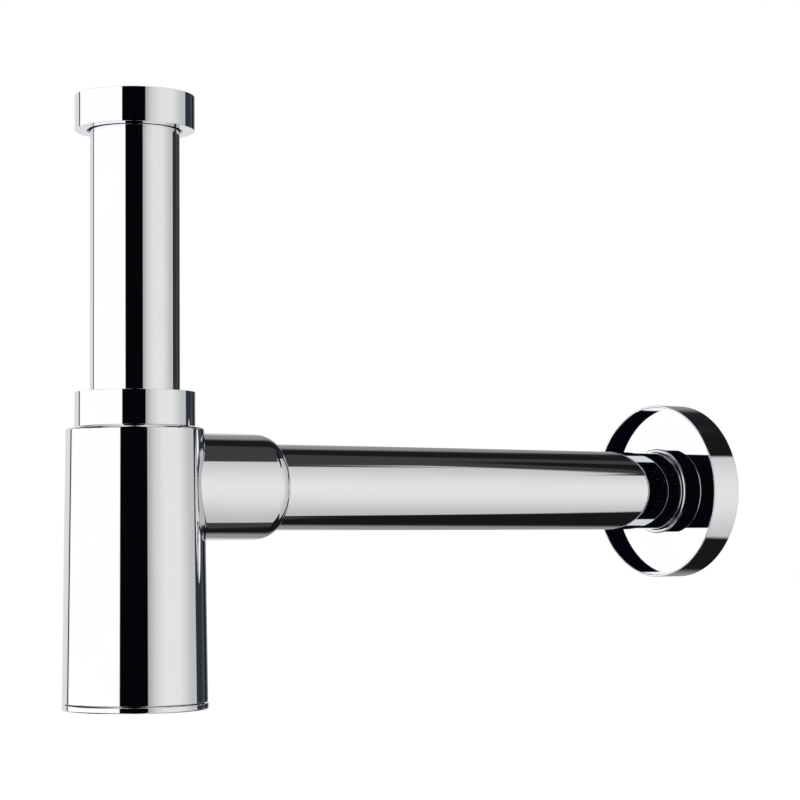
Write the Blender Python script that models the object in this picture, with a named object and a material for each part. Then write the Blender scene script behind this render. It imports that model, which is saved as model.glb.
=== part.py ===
"""Chromed brass bottle trap for a basin, with a straight outlet tube and a dished wall flange.

Units are metres and +Z is up. The origin is the centre of the base cap's flat underside, the
trap's body stands on the Z axis, and the outlet runs along +X towards the wall.

Run with: blender --background --python part.py
"""

import math

import bmesh
import bpy
from mathutils import Euler, Vector

# Shared by every piece
RUNNING_GAP = 0.0003  # between two pieces that touch, thread on thread included
OVERRUN = 0.0020  # how far a cut runs past the face that it opens
WELD_DISTANCE = 0.000001  # points this close on a turning axis are one point
EDGE_BREAK = 0.0003  # the small bevel on a turned edge

# The two bare tubes
TUBE_OD = 0.0320
TUBE_WALL = 0.0010
EXPOSED_INLET = 0.0939  # bare inlet tube that shows between the two nuts
TUBE_IN_WALL = 0.0134  # how far the outlet tube goes on behind the flange

# The union nut and the collar nut, turned to one outline
NUT_WALL = 0.0019
NUT_HEIGHT = 0.0123
NUT_LIP = 0.0022
UNION_PLAY = 0.0010  # between the inlet tube and the hole in the union nut
UNION_ENTRY = 0.0008  # lead-in bevel at the mouth of its thread

# Inlet tube head and its washer
HEAD_PLAY = 0.0004  # between the head's edge and the nut's thread
HEAD_THICKNESS = 0.0015
WASHER_THICKNESS = 0.0024

# Gland that holds the inlet tube: neck, cone seal, slip ring
NECK_EDGE = 0.0009  # land round the mouth of the cone seat
SEAT_DEPTH = 0.0040
SEAT_FLARE = 0.0020  # how much the cone seat widens the neck's bore, on the radius
COLLAR_REVEAL = 0.0005  # shadow gap between the deck and the collar nut
SEAL_HEAD_THICKNESS = 0.0014
SEAL_TOE = 0.0004
SLIP_RING_THICKNESS = 0.0008

# Trap body, a tapered bottle
DECK_LEDGE = 0.0031  # deck that shows round the collar nut
BODY_TAPER = 0.00125  # how much wider the foot is than the deck, on the radius
BODY_HEIGHT = 0.0969
BODY_WALL = 0.0016
BODY_TOP_ROUND = 0.0010
DECK_THICKNESS = 0.0025
DECK_FILLET = 0.0015  # inside, between deck and wall
FOOT_LAND_HEIGHT = 0.0080  # threaded land inside the foot
FOOT_LIP = 0.00115  # wall left round the base cap's ring

# Base cap and its ring
CAP_RIM_HEIGHT = 0.0022
CAP_OVERHANG = 0.00015  # how far the rim stands out from the foot
CAP_PLUG_HEIGHT = 0.0070
CAP_PLUG_WALL = 0.0022
CAP_RING_CORD = 0.0016
PIN_HOLE_DIAMETER = 0.0050
PIN_HOLE_DEPTH = 0.0013
PIN_HOLE_SPACING = 0.0280
DIP_CLEARANCE = 0.0047  # from the plug up to the dip end, which leaves a 50 mm water seal

# Outlet socket on the body's side, and the two rings that grip the outlet tube
SOCKET_WALL = 0.0032
SOCKET_PROUD = 0.0309  # from the deck's edge out to the socket's mouth
SOCKET_DROP = 0.0010  # from the deck down to the socket's top
SOCKET_STOP = 0.0039  # from the deck's edge out to the step that stops the tube
MOUTH_WALL = 0.0006
SHOULDER_LENGTH = 0.0062
TUBE_END_PLAY = 0.0007
OUTLET_RING_CORD = 0.0016
OUTLET_RING_SETBACK = 0.0085  # from the mouth to the outer ring's middle
OUTLET_RING_SPACING = 0.0080

# Wall flange and its grip ring
WALL_DISTANCE = 0.2657  # from the body's axis to the wall
FLANGE_OD = 0.0717
FLANGE_DEPTH = 0.0138
FLANGE_RIM = 0.0009
FLANGE_DISH = 0.0056  # from the rim back to the dish's floor
FLANGE_FLOOR = 0.0030  # the floor's own thickness, open behind
FLANGE_LAND = 0.0022  # the rim's thickness behind the floor, where it meets the wall
HUB_WALL = 0.0013
HUB_SETBACK = 0.0008  # how far the hub stops behind the rim
GRIP_RING_CORD = 0.0013

# Facets round a full turn, and along a rounded corner
LARGE_FACETS = 56
TUBE_FACETS = 48
RING_FACETS = 36
HOLE_FACETS = 20
CORD_FACETS = 6
CORNER_FACETS = 3
SHOULDER_FACETS = 7
SMOOTH_ANGLE = math.radians(32)

# Radii that follow from the sizes above
TUBE_RADIUS = TUBE_OD / 2
TUBE_BORE_RADIUS = TUBE_RADIUS - TUBE_WALL
GUIDE_RADIUS = TUBE_RADIUS + RUNNING_GAP  # every bore that guides a tube
NECK_RADIUS = GUIDE_RADIUS + SEAT_FLARE + NECK_EDGE
NUT_BORE_RADIUS = NECK_RADIUS + RUNNING_GAP
NUT_RADIUS = NUT_BORE_RADIUS + NUT_WALL
HEAD_RADIUS = NUT_BORE_RADIUS - HEAD_PLAY
BODY_TOP_RADIUS = NUT_RADIUS + DECK_LEDGE
BODY_FOOT_RADIUS = BODY_TOP_RADIUS + BODY_TAPER
RING_POCKET_RADIUS = BODY_FOOT_RADIUS - FOOT_LIP
CAP_PLUG_RADIUS = RING_POCKET_RADIUS - CAP_RING_CORD - 2 * RUNNING_GAP
CAP_RIM_RADIUS = BODY_FOOT_RADIUS + CAP_OVERHANG
SOCKET_RADIUS = GUIDE_RADIUS + SOCKET_WALL
MOUTH_RADIUS = GUIDE_RADIUS + MOUTH_WALL
HUB_RADIUS = GUIDE_RADIUS + HUB_WALL

# Heights and reaches that follow from the sizes above
FOOT_Z = CAP_RIM_HEIGHT + RUNNING_GAP
DECK_Z = FOOT_Z + BODY_HEIGHT
COLLAR_Z = DECK_Z + COLLAR_REVEAL
COLLAR_TOP_Z = COLLAR_Z + NUT_HEIGHT
UNION_Z = COLLAR_TOP_Z + EXPOSED_INLET
SLIP_RING_Z = COLLAR_TOP_Z - NUT_LIP - RUNNING_GAP - SLIP_RING_THICKNESS
SEAL_TOP_Z = SLIP_RING_Z - RUNNING_GAP
NECK_TOP_Z = SEAL_TOP_Z - SEAL_HEAD_THICKNESS - RUNNING_GAP
HEAD_Z = UNION_Z + NUT_LIP + RUNNING_GAP
TUBE_TOP_Z = HEAD_Z + HEAD_THICKNESS
CAP_PLUG_Z = CAP_RIM_HEIGHT + CAP_PLUG_HEIGHT
DIP_END_Z = CAP_PLUG_Z + DIP_CLEARANCE
OUTLET_Z = DECK_Z - SOCKET_DROP - SOCKET_RADIUS
SOCKET_REACH_X = BODY_TOP_RADIUS + SOCKET_PROUD
SOCKET_STOP_X = BODY_TOP_RADIUS + SOCKET_STOP
OUTLET_START_X = SOCKET_STOP_X + TUBE_END_PLAY
OUTLET_END_X = WALL_DISTANCE + TUBE_IN_WALL
FLANGE_FRONT_X = WALL_DISTANCE - FLANGE_DEPTH
FLANGE_FLOOR_X = FLANGE_FRONT_X + FLANGE_DISH
FLANGE_BACK_X = FLANGE_FLOOR_X + FLANGE_FLOOR


def clear_scene():
    """Removes whatever the file opened with."""
    for obj in list(bpy.data.objects):
        bpy.data.objects.remove(obj, do_unlink=True)


def make_material(name, colour, metallic, roughness):
    """A plain Principled material."""
    material = bpy.data.materials.new(name)
    material.use_nodes = True
    shader = material.node_tree.nodes["Principled BSDF"]
    shader.inputs["Base Color"].default_value = (*colour, 1.0)
    shader.inputs["Metallic"].default_value = metallic
    shader.inputs["Roughness"].default_value = roughness
    return material


def rounded_outline(corners, facets=CORNER_FACETS):
    """Outline points from (radius, height, rounding) corners.

    A corner with a rounding is replaced by an arc that is tangent to both of its sides, and
    the rounding is limited by the shorter side. An edge break gets one flat bevel.
    """
    points = []
    count = len(corners)
    for index, (radius, height, rounding) in enumerate(corners):
        here = Vector((radius, height))
        if not rounding:
            points.append(here)
            continue
        before = Vector(corners[index - 1][:2]) - here
        after = Vector(corners[(index + 1) % count][:2]) - here
        half_angle = before.angle(after) / 2
        reach = min(rounding / math.tan(half_angle), before.length / 2, after.length / 2)
        arc_radius = reach * math.tan(half_angle)
        steps = 1 if rounding <= EDGE_BREAK else facets
        middle = (before.normalized() + after.normalized()).normalized()
        centre = here + middle * (arc_radius / math.sin(half_angle))
        start = here + before.normalized() * reach - centre
        end = here + after.normalized() * reach - centre
        sweep = start.angle_signed(end)
        for step in range(steps + 1):
            turn = -sweep * step / steps
            points.append(centre + Vector((
                start.x * math.cos(turn) - start.y * math.sin(turn),
                start.x * math.sin(turn) + start.y * math.cos(turn),
            )))
    return [(point.x, point.y) for point in points]


def round_section(middle_radius, middle_height, cord):
    """The outline of a ring of round cord, with two points on its inner and outer faces."""
    half_turn = 2 * math.pi / CORD_FACETS
    cord_radius = cord / 2 / math.cos(half_turn / 2)
    outline = []
    for index in range(CORD_FACETS):
        turn = half_turn * (index + 0.5)
        outline.append((
            middle_radius + cord_radius * math.cos(turn),
            middle_height + cord_radius * math.sin(turn),
        ))
    return outline


def turned_mesh(name, outline, facets):
    """A closed mesh turned about Z from (radius, height) points.

    An outline whose two ends lie on the axis stays open there, and any other is closed.
    """
    solid_core = outline[0][0] == 0 and outline[-1][0] == 0
    mesh_data = bmesh.new()
    points = [mesh_data.verts.new((radius, 0, height)) for radius, height in outline]
    edges = [mesh_data.edges.new(pair) for pair in zip(points, points[1:])]
    if not solid_core:
        edges.append(mesh_data.edges.new((points[-1], points[0])))
    bmesh.ops.spin(
        mesh_data,
        geom=points + edges,
        cent=(0, 0, 0),
        axis=(0, 0, 1),
        angle=2 * math.pi,
        steps=facets,
        use_merge=True,
    )
    bmesh.ops.remove_doubles(mesh_data, verts=mesh_data.verts, dist=WELD_DISTANCE)
    bmesh.ops.recalc_face_normals(mesh_data, faces=mesh_data.faces)
    mesh = bpy.data.meshes.new(name)
    mesh_data.to_mesh(mesh)
    mesh_data.free()
    return mesh


def shade_round(mesh):
    """Smooth shading that keeps the turned edges crisp."""
    mesh.shade_smooth()
    mesh.set_sharp_from_angle(angle=SMOOTH_ANGLE)


def add_turned(name, outline, facets, material, parent):
    """A turned piece on its parent's axis, whose outline heights run along that axis."""
    mesh = turned_mesh(name, outline, facets)
    mesh.materials.append(material)
    shade_round(mesh)
    piece = bpy.data.objects.new(name, mesh)
    piece.parent = parent
    bpy.context.scene.collection.objects.link(piece)
    return piece


def add_tool(name, outline, facets, parent):
    """A turned shape that only joins or cuts, and is left out of the finished part."""
    tool = bpy.data.objects.new(name, turned_mesh(name, outline, facets))
    tool.parent = parent
    tool.hide_render = True
    tool.display_type = "WIRE"
    bpy.context.scene.collection.objects.link(tool)
    return tool


def combine(piece, steps):
    """Carries out the Boolean steps, (operation, tool), on the piece in their order."""
    for operation, tool in steps:
        modifier = piece.modifiers.new(f"{operation.lower()} {tool.name}", "BOOLEAN")
        modifier.operation = operation
        modifier.solver = "EXACT"
        modifier.object = tool
    bpy.context.view_layer.update()
    graph = bpy.context.evaluated_depsgraph_get()
    result = bpy.data.meshes.new_from_object(piece.evaluated_get(graph))
    piece.modifiers.clear()
    blank = piece.data
    result.name = piece.name
    piece.data = result
    bpy.data.meshes.remove(blank)
    for _, tool in steps:
        bpy.data.objects.remove(tool, do_unlink=True)
    shade_round(result)
    return piece


def add_axis(name, height=0, turn=(0, 0, 0)):
    """An empty whose Z axis is a turning axis of the part."""
    axis = bpy.data.objects.new(name, None)
    axis.location = (0, 0, height)
    axis.rotation_euler = Euler(turn)
    bpy.context.scene.collection.objects.link(axis)
    return axis


def nut_outline(bottom, hole_radius, lip_at_top, entry):
    """A plain round nut: an outer wall, and an inward lip at its top or its bottom."""
    top = bottom + NUT_HEIGHT
    lip_end, mouth_end = (top, bottom) if lip_at_top else (bottom, top)
    inward = -1 if lip_at_top else 1
    corners = [
        (NUT_RADIUS, mouth_end, EDGE_BREAK),
        (NUT_RADIUS, lip_end, EDGE_BREAK),
        (hole_radius, lip_end, EDGE_BREAK),
        (hole_radius, lip_end + inward * NUT_LIP, 0),
        (NUT_BORE_RADIUS, lip_end + inward * NUT_LIP, 0),
        (NUT_BORE_RADIUS, mouth_end - inward * entry, 0),
        (NUT_BORE_RADIUS + entry, mouth_end, 0),
    ]
    return rounded_outline(corners)


def add_inlet(axis, chrome, rubber):
    """The union nut, its washer and the dip tube with its turned-out head."""
    add_turned(
        "inlet_union_nut",
        nut_outline(UNION_Z, TUBE_RADIUS + UNION_PLAY, False, UNION_ENTRY),
        LARGE_FACETS, chrome, axis,
    )
    tube = [
        (TUBE_BORE_RADIUS, DIP_END_Z, 0),
        (TUBE_BORE_RADIUS, TUBE_TOP_Z, 0),
        (HEAD_RADIUS, TUBE_TOP_Z, EDGE_BREAK),
        (HEAD_RADIUS, HEAD_Z, EDGE_BREAK),
        (TUBE_RADIUS, HEAD_Z, 0),
        (TUBE_RADIUS, DIP_END_Z, 0),
    ]
    add_turned("inlet_tube", rounded_outline(tube), TUBE_FACETS, chrome, axis)
    washer_bottom = TUBE_TOP_Z + RUNNING_GAP
    washer_top = washer_bottom + WASHER_THICKNESS
    washer = [
        (TUBE_BORE_RADIUS, washer_bottom),
        (TUBE_BORE_RADIUS, washer_top),
        (HEAD_RADIUS, washer_top),
        (HEAD_RADIUS, washer_bottom),
    ]
    add_turned("inlet_washer", washer, RING_FACETS, rubber, axis)


def add_gland(axis, chrome, rubber, nylon):
    """The collar nut, the slip ring below its lip, and the cone seal on the neck."""
    add_turned(
        "collar_nut",
        nut_outline(COLLAR_Z, GUIDE_RADIUS, True, EDGE_BREAK),
        LARGE_FACETS, chrome, axis,
    )
    slip_ring = [
        (GUIDE_RADIUS, SLIP_RING_Z),
        (GUIDE_RADIUS, SLIP_RING_Z + SLIP_RING_THICKNESS),
        (NECK_RADIUS, SLIP_RING_Z + SLIP_RING_THICKNESS),
        (NECK_RADIUS, SLIP_RING_Z),
    ]
    add_turned("collar_slip_ring", slip_ring, RING_FACETS, nylon, axis)
    flare = SEAT_FLARE / SEAT_DEPTH
    cone_gap = RUNNING_GAP * math.hypot(1, flare)
    toe_height = NECK_TOP_Z - SEAT_DEPTH + (SEAL_TOE + cone_gap) / flare
    cone_top_radius = GUIDE_RADIUS + SEAT_FLARE - cone_gap
    head_bottom = NECK_TOP_Z + RUNNING_GAP
    seal = [
        (GUIDE_RADIUS, toe_height),
        (GUIDE_RADIUS, SEAL_TOP_Z),
        (NECK_RADIUS, SEAL_TOP_Z),
        (NECK_RADIUS, head_bottom),
        (cone_top_radius + RUNNING_GAP * flare, head_bottom),
        (GUIDE_RADIUS + SEAL_TOE, toe_height),
    ]
    add_turned("collar_cone_seal", seal, RING_FACETS, rubber, axis)


def body_radius(height):
    """The bottle's outer radius, which narrows evenly from foot to deck."""
    share_up = (height - FOOT_Z) / BODY_HEIGHT
    return BODY_FOOT_RADIUS - BODY_TAPER * share_up


def socket_outline():
    """The socket's outside: a straight barrel and an elliptical shoulder down to its mouth."""
    shoulder_start = SOCKET_REACH_X - SHOULDER_LENGTH
    shoulder_drop = SOCKET_RADIUS - MOUTH_RADIUS
    outline = [(0, 0), (SOCKET_RADIUS, 0)]
    for step in range(SHOULDER_FACETS + 1):
        turn = math.pi / 2 * step / SHOULDER_FACETS
        outline.append((
            MOUTH_RADIUS + shoulder_drop * math.cos(turn),
            shoulder_start + SHOULDER_LENGTH * math.sin(turn),
        ))
    outline.append((0, SOCKET_REACH_X))
    return outline


def outlet_ring_places():
    """The middles of the two outlet rings, the inner one first."""
    outer = SOCKET_REACH_X - OUTLET_RING_SETBACK
    return {"outlet_ring_inner": outer - OUTLET_RING_SPACING, "outlet_ring_outer": outer}


def socket_bore_outline():
    """The waterway, the tube's socket and its two ring grooves, as one cutter."""
    groove_radius = GUIDE_RADIUS + OUTLET_RING_CORD + RUNNING_GAP
    half_groove = OUTLET_RING_CORD / 2 + RUNNING_GAP
    outline = [(0, 0), (TUBE_BORE_RADIUS, 0)]
    outline += [(TUBE_BORE_RADIUS, SOCKET_STOP_X), (GUIDE_RADIUS, SOCKET_STOP_X)]
    for middle in outlet_ring_places().values():
        outline += [
            (GUIDE_RADIUS, middle - half_groove),
            (groove_radius, middle - half_groove),
            (groove_radius, middle + half_groove),
            (GUIDE_RADIUS, middle + half_groove),
        ]
    outline += [(GUIDE_RADIUS, SOCKET_REACH_X + OVERRUN), (0, SOCKET_REACH_X + OVERRUN)]
    return outline


def cavity_outline():
    """The bottle's inside, from below its open foot to above its neck."""
    ring_pocket_top = FOOT_Z + CAP_RING_CORD + RUNNING_GAP
    land_radius = CAP_PLUG_RADIUS + RUNNING_GAP
    land_top = FOOT_Z + FOOT_LAND_HEIGHT
    lower_radius = body_radius(land_top) - BODY_WALL
    chamber_bottom = land_top + (lower_radius - land_radius)
    ceiling = DECK_Z - DECK_THICKNESS
    corners = [
        (0, FOOT_Z - OVERRUN, 0),
        (RING_POCKET_RADIUS, FOOT_Z - OVERRUN, 0),
        (RING_POCKET_RADIUS, ring_pocket_top, 0),
        (land_radius, ring_pocket_top, 0),
        (land_radius, land_top, 0),
        (body_radius(chamber_bottom) - BODY_WALL, chamber_bottom, 0),
        (body_radius(ceiling) - BODY_WALL, ceiling, DECK_FILLET),
        (GUIDE_RADIUS, ceiling, 0),
        (GUIDE_RADIUS, NECK_TOP_Z - SEAT_DEPTH, 0),
        (GUIDE_RADIUS + SEAT_FLARE, NECK_TOP_Z, 0),
        (GUIDE_RADIUS + SEAT_FLARE, NECK_TOP_Z + OVERRUN, 0),
        (0, NECK_TOP_Z + OVERRUN, 0),
    ]
    return rounded_outline(corners)


def add_trap_body(axis, outlet_axis, chrome):
    """The tapered bottle with its neck, its open foot and the socket on its side."""
    corners = [
        (0, NECK_TOP_Z, 0),
        (NECK_RADIUS, NECK_TOP_Z, EDGE_BREAK),
        (NECK_RADIUS, DECK_Z, 0),
        (BODY_TOP_RADIUS, DECK_Z, BODY_TOP_ROUND),
        (BODY_FOOT_RADIUS, FOOT_Z, EDGE_BREAK),
        (0, FOOT_Z, 0),
    ]
    body = add_turned("trap_body", rounded_outline(corners), LARGE_FACETS, chrome, axis)
    socket = add_tool("socket", socket_outline(), TUBE_FACETS, outlet_axis)
    cavity = add_tool("cavity", cavity_outline(), LARGE_FACETS, axis)
    bore = add_tool("socket bore", socket_bore_outline(), TUBE_FACETS, outlet_axis)
    combine(body, [("UNION", socket), ("DIFFERENCE", cavity), ("DIFFERENCE", bore)])


def add_base(axis, chrome, rubber):
    """The screwed clean-out cap with its two spanner holes, and its sealing ring."""
    plug_bore = CAP_PLUG_RADIUS - CAP_PLUG_WALL
    corners = [
        (0, CAP_RIM_HEIGHT, 0),
        (plug_bore, CAP_RIM_HEIGHT, 0),
        (plug_bore, CAP_PLUG_Z, 0),
        (CAP_PLUG_RADIUS, CAP_PLUG_Z, 2 * EDGE_BREAK),
        (CAP_PLUG_RADIUS, CAP_RIM_HEIGHT, 0),
        (CAP_RIM_RADIUS, CAP_RIM_HEIGHT, EDGE_BREAK),
        (CAP_RIM_RADIUS, 0, 2 * EDGE_BREAK),
        (0, 0, 0),
    ]
    cap = add_turned("base_cap", rounded_outline(corners), LARGE_FACETS, chrome, axis)
    hole = [
        (0, PIN_HOLE_DEPTH),
        (PIN_HOLE_DIAMETER / 2, PIN_HOLE_DEPTH),
        (PIN_HOLE_DIAMETER / 2, -OVERRUN),
        (0, -OVERRUN),
    ]
    holes = []
    for side in (-1, 1):
        pin_hole = add_tool(f"pin hole {side}", hole, HOLE_FACETS, axis)
        pin_hole.location.y = side * PIN_HOLE_SPACING / 2
        holes.append(("DIFFERENCE", pin_hole))
    combine(cap, holes)
    ring = round_section(
        CAP_PLUG_RADIUS + RUNNING_GAP + CAP_RING_CORD / 2,
        FOOT_Z + CAP_RING_CORD / 2,
        CAP_RING_CORD,
    )
    add_turned("base_cap_ring", ring, RING_FACETS, rubber, axis)


def add_outlet(outlet_axis, chrome, rubber):
    """The outlet tube and the two rings that grip it in the socket."""
    tube = [
        (TUBE_BORE_RADIUS, OUTLET_START_X, 0),
        (TUBE_BORE_RADIUS, OUTLET_END_X, 0),
        (TUBE_RADIUS, OUTLET_END_X, EDGE_BREAK),
        (TUBE_RADIUS, OUTLET_START_X, EDGE_BREAK),
    ]
    add_turned("outlet_tube", rounded_outline(tube), TUBE_FACETS, chrome, outlet_axis)
    for name, middle in outlet_ring_places().items():
        ring = round_section(GUIDE_RADIUS + OUTLET_RING_CORD / 2, middle, OUTLET_RING_CORD)
        add_turned(name, ring, RING_FACETS, rubber, outlet_axis)


def add_wall_flange(outlet_axis, chrome, rubber):
    """The dished flange, open towards the room round its hub, and the ring inside the hub."""
    front = FLANGE_FRONT_X
    rim_outside = FLANGE_OD / 2
    rim_inside = rim_outside - FLANGE_RIM
    land_inside = rim_outside - FLANGE_LAND
    groove_middle = FLANGE_FLOOR_X + FLANGE_FLOOR / 2
    half_groove = GRIP_RING_CORD / 2 + RUNNING_GAP
    groove_radius = GUIDE_RADIUS + GRIP_RING_CORD + RUNNING_GAP
    corners = [
        (rim_outside, front, EDGE_BREAK),
        (rim_outside, WALL_DISTANCE, EDGE_BREAK),
        (land_inside, WALL_DISTANCE, 0),
        (land_inside, FLANGE_BACK_X, 0),
        (GUIDE_RADIUS, FLANGE_BACK_X, 0),
        (GUIDE_RADIUS, groove_middle + half_groove, 0),
        (groove_radius, groove_middle + half_groove, 0),
        (groove_radius, groove_middle - half_groove, 0),
        (GUIDE_RADIUS, groove_middle - half_groove, 0),
        (GUIDE_RADIUS, front + HUB_SETBACK, EDGE_BREAK),
        (HUB_RADIUS, front + HUB_SETBACK, 2 * EDGE_BREAK),
        (HUB_RADIUS, FLANGE_FLOOR_X, EDGE_BREAK),
        (rim_inside, FLANGE_FLOOR_X, EDGE_BREAK),
        (rim_inside, front, EDGE_BREAK),
    ]
    add_turned("wall_flange", rounded_outline(corners), LARGE_FACETS, chrome, outlet_axis)
    ring = round_section(GUIDE_RADIUS + GRIP_RING_CORD / 2, groove_middle, GRIP_RING_CORD)
    add_turned("flange_grip_ring", ring, RING_FACETS, rubber, outlet_axis)


def main():
    """Builds every piece on the trap's two axes."""
    clear_scene()
    chrome = make_material("polished chrome", (0.80, 0.81, 0.83), 1.0, 0.04)
    rubber = make_material("black rubber", (0.025, 0.025, 0.027), 0.0, 0.60)
    nylon = make_material("white nylon", (0.78, 0.78, 0.75), 0.0, 0.45)
    trap_axis = add_axis("trap axis")
    outlet_axis = add_axis("outlet axis", OUTLET_Z, (0, math.pi / 2, 0))
    add_inlet(trap_axis, chrome, rubber)
    add_gland(trap_axis, chrome, rubber, nylon)
    add_trap_body(trap_axis, outlet_axis, chrome)
    add_base(trap_axis, chrome, rubber)
    add_outlet(outlet_axis, chrome, rubber)
    add_wall_flange(outlet_axis, chrome, rubber)
    bpy.context.view_layer.update()


main()
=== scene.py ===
"""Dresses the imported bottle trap: polished chrome over brass, black rubber seals, a nylon slip ring.

Every length is in metres. The bottle and the inlet tube stand on the Z axis, and the outlet tube
runs along +X to the wall.
"""

from __future__ import annotations

import logging
import math
from collections.abc import Callable, Mapping, Sequence
from dataclasses import dataclass
from enum import Enum
from functools import cache, partial

import bpy
from mathutils import Matrix, Vector


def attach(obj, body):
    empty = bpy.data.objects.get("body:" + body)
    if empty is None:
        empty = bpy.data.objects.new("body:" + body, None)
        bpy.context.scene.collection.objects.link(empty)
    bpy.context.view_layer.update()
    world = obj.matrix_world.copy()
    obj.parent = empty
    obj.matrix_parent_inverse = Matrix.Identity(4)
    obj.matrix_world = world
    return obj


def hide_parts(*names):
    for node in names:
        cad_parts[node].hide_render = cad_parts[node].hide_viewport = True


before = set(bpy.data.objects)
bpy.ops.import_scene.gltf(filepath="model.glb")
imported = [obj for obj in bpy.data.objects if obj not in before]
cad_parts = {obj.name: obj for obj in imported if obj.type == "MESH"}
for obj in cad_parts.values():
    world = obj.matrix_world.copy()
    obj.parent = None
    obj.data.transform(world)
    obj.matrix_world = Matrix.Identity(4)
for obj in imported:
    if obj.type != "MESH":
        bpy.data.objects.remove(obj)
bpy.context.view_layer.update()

LOG = logging.getLogger("bottle_trap")
# Red, green and blue.
Colour = tuple[float, float, float]
# A place or a direction in the part.
Place = tuple[float, float, float]
# A radius and a height on an outline, or the normal there.
Flat = Sequence[float]
# A point of an outline or a surface, and the normal there.
Spot = tuple[Vector, Vector]
# The spots of one turn round an axis.
Ring = list[Spot]


class Fineness(Enum):
    """Facets round a full turn."""

    WIDE = 160
    TUBE = 144
    RING = 96
    HOLE = 32


class Slot(Enum):
    """The record's material slots."""

    CHROME = "chrome"
    RUBBER = "rubber"
    NYLON = "nylon"


class Surface(Enum):
    """The order of the finishes on a metal piece."""

    PLATED = 0
    BARE = 1


@dataclass(frozen=True)
class Corner:
    """A corner of a turned outline.

    The rounding is the radius of the arc that replaces the corner. The thread is cut on the
    stretch that starts at this corner, and the surface names that stretch's finish.
    """

    radius: float
    height: float
    rounding: float = 0.0
    thread: Thread | None = None
    surface: Surface = Surface.PLATED


def bare(
    radius: float, height: float, rounding: float = 0.0, thread: Thread | None = None
) -> Corner:
    """A corner whose stretch is bare metal."""
    return Corner(radius, height, rounding, thread, Surface.BARE)


@dataclass(frozen=True)
class Thread:
    """A screw thread that runs round a straight stretch of an outline.

    The depth is counted into the material from the crests.
    """

    pitch: float
    depth: float
    rows_per_turn: int = 8

    def sink(self, height: float, turn: float, low: float, high: float) -> float:
        """How deep the surface lies below the crests.

        Args:
            height: Place along the axis.
            turn: Angle round the axis, in radians.
            low: Where the thread starts along the axis.
            high: Where it ends.

        Returns:
            The depth, which fades out over the first and last half pitch.
        """
        phase = (height / self.pitch - turn / math.tau) % 1.0
        wave = 0.5 - 0.5 * math.cos(math.tau * phase)
        fade = min(1.0, max(0.0, min(height - low, high - height)) / (0.5 * self.pitch))
        return self.depth * wave * fade


@dataclass
class Stretch:
    """A stretch of a turned outline between two points, with the normal at each."""

    start: Vector
    end: Vector
    start_normal: Vector
    end_normal: Vector
    surface: Surface
    thread: Thread | None = None


class Skin:
    """Gathers bands of faces with their exact normals, and makes one mesh of them.

    Points closer together than the grain are one point.
    """

    GRAIN = 1e-8

    def __init__(self) -> None:
        """Starts with no faces."""
        self._places: dict[tuple[int, int, int], int] = {}
        self._points: list[Vector] = []
        self._faces: list[list[int]] = []
        self._normals: list[Vector] = []
        self._surfaces: list[int] = []

    def _place(self, point: Vector) -> int:
        """Finds or adds a point, which all faces that meet there share.

        Args:
            point: The point.

        Returns:
            Its index.
        """
        key = tuple(round(value / self.GRAIN) for value in point)
        if key not in self._places:
            self._places[key] = len(self._points)
            self._points.append(point)
        return self._places[key]

    def add_face(self, spots: Sequence[Spot], surface: Surface) -> None:
        """Adds one face, without the corners that meet at one point.

        Args:
            spots: The face's corners, anticlockwise from outside.
            surface: The face's finish.
        """
        corners: list[int] = []
        kept: list[Vector] = []
        for point, normal in spots:
            index = self._place(point)
            if index not in corners:
                corners.append(index)
                kept.append(normal)
        if len(corners) > 2:
            self._faces.append(corners)
            self._normals.extend(kept)
            self._surfaces.append(surface.value)

    def join_rings(
        self,
        rings: Sequence[Ring],
        surface: Surface = Surface.PLATED,
        keep: Callable[[Sequence[Vector]], bool] | None = None,
    ) -> None:
        """Joins each ring to the next with a band of faces.

        Args:
            rings: The rings, in the outline's order.
            surface: The bands' finish.
            keep: A test of a face's corners, for bands with a hole.
        """
        for first, second in zip(rings, rings[1:]):
            for index in range(len(first)):
                after = (index + 1) % len(first)
                spots = (first[index], first[after], second[after], second[index])
                if keep is None or keep([point for point, _ in spots]):
                    self.add_face(spots, surface)

    def to_mesh(self, name: str) -> bpy.types.Mesh:
        """Makes the mesh, with its exact normals set.

        Args:
            name: The mesh's name.

        Returns:
            The new mesh.
        """
        mesh = bpy.data.meshes.new(name)
        mesh.from_pydata([tuple(point) for point in self._points], [], self._faces)
        mesh.polygons.foreach_set("material_index", self._surfaces)
        mesh.shade_smooth()
        mesh.normals_split_custom_set([tuple(normal) for normal in self._normals])
        mesh.update()
        return mesh


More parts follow.
